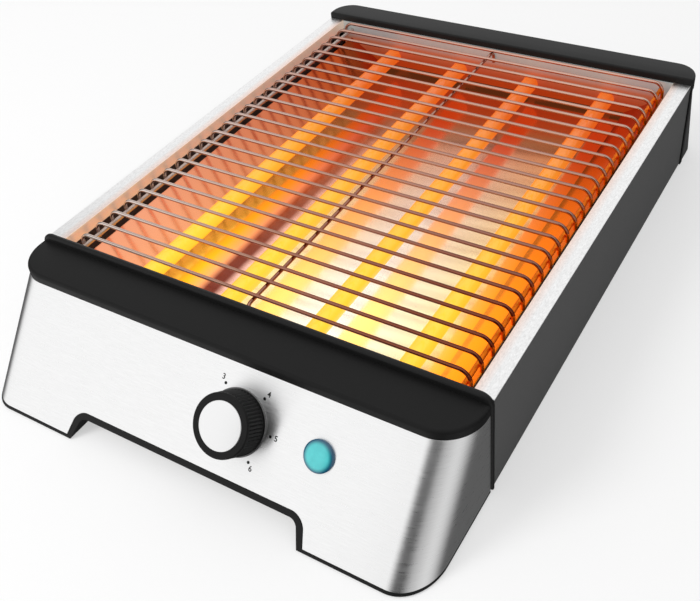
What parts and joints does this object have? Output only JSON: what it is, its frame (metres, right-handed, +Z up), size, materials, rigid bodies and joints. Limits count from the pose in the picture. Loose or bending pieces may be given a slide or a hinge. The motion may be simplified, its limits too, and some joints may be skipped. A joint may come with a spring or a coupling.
{
  "type": "flat toaster",
  "caption": "Flat open toaster: wire rack over quartz heaters between a leaning steel front with timer knob and lamp and a dark rear end, with a slide-out crumb tray.",
  "frame": {"origin": "on the table, under the middle of the outline", "axes": "+X to the right seen from the front, +Y to the rear, +Z up"},
  "size_m": [0.26, 0.3812, 0.0625],
  "materials": {
    "brushed_steel": "long horizontal brush grain",
    "black_plastic": "fine moulded texture",
    "black_cap": "satin moulded",
    "grey_cap": "satin moulded",
    "grey_paint": "satin powder coat",
    "rail_steel": "lengthwise brush grain",
    "zinc_sheet": "zinc plated",
    "bay_steel": "rolled sheet",
    "polished_steel": "polished",
    "quartz": "clear fused quartz",
    "hot_element": "glowing",
    "ceramic": "unglazed",
    "bus_brass": "plain",
    "chrome_wire": "plated wire",
    "knob_black": "ribbed moulding",
    "knob_silver": "fine spun face",
    "chrome_ring": "plated",
    "timer_case": "moulded",
    "turquoise_lens": "translucent, glossy",
    "lead_sleeve": "glass-fibre sleeve",
    "foot_rubber": "matt"
  },
  "bodies": {
    "base": {"front_panel": "brushed_steel", "front_housing": "black_plastic", "front_cap": "black_cap", "front_collar": "black_plastic", "rear_housing": "black_plastic", "rear_cap": "grey_cap", "rear_collar": "black_plastic", "left_side_panel": "grey_paint", "right_side_panel": "grey_paint", "left_rail": "rail_steel", "right_rail": "rail_steel", "base_plate": "zinc_sheet", "front_end_plate": "bay_steel", "rear_end_plate": "bay_steel", "left_reflector": "polished_steel", "right_reflector": "polished_steel", "left_tray_runner": "zinc_sheet", "right_tray_runner": "zinc_sheet", "quartz_tubes": "quartz", "heating_elements": "hot_element", "front_tube_caps": "ceramic", "rear_tube_caps": "ceramic", "front_bus_bar": "bus_brass", "rear_bus_bar": "bus_brass", "rack_cross_wires": "chrome_wire", "rack_left_ends": "chrome_wire", "rack_right_ends": "chrome_wire", "rack_side_wires": "chrome_wire", "rack_centre_wire": "chrome_wire", "rack_centre_ends": "chrome_wire", "knob_ring": "chrome_ring", "timer_body": "timer_case", "timer_nut": "zinc_sheet", "pilot_lens": "turquoise_lens", "pilot_clip": "timer_case", "pilot_lamp": "quartz", "inner_lead": "lead_sleeve", "terminal_block": "timer_case", "thermal_cutout": "zinc_sheet", "cord_gland": "black_plastic", "foot_pads": "foot_rubber", "collar_screws": "zinc_sheet", "base_screws": "zinc_sheet"},
    "timer_knob_set": {"timer_knob": "knob_black", "knob_disc": "knob_silver", "timer_shaft": "zinc_sheet"},
    "tray": {"crumb_tray": "polished_steel", "tray_pull": "black_plastic"}
  },
  "joints": [
    {"name": "timer_turn", "type": "hinge", "parent": "base", "child": "timer_knob_set", "pos_m": [0.023, -0.16432, 0.03342], "axis": [0, 0.7782, -0.628], "range_deg": [-54, 234]},
    {"name": "tray_slide", "type": "slide", "parent": "base", "child": "tray", "axis": [0, 1, 0], "range_m": [0, 0.24]}
  ]
}
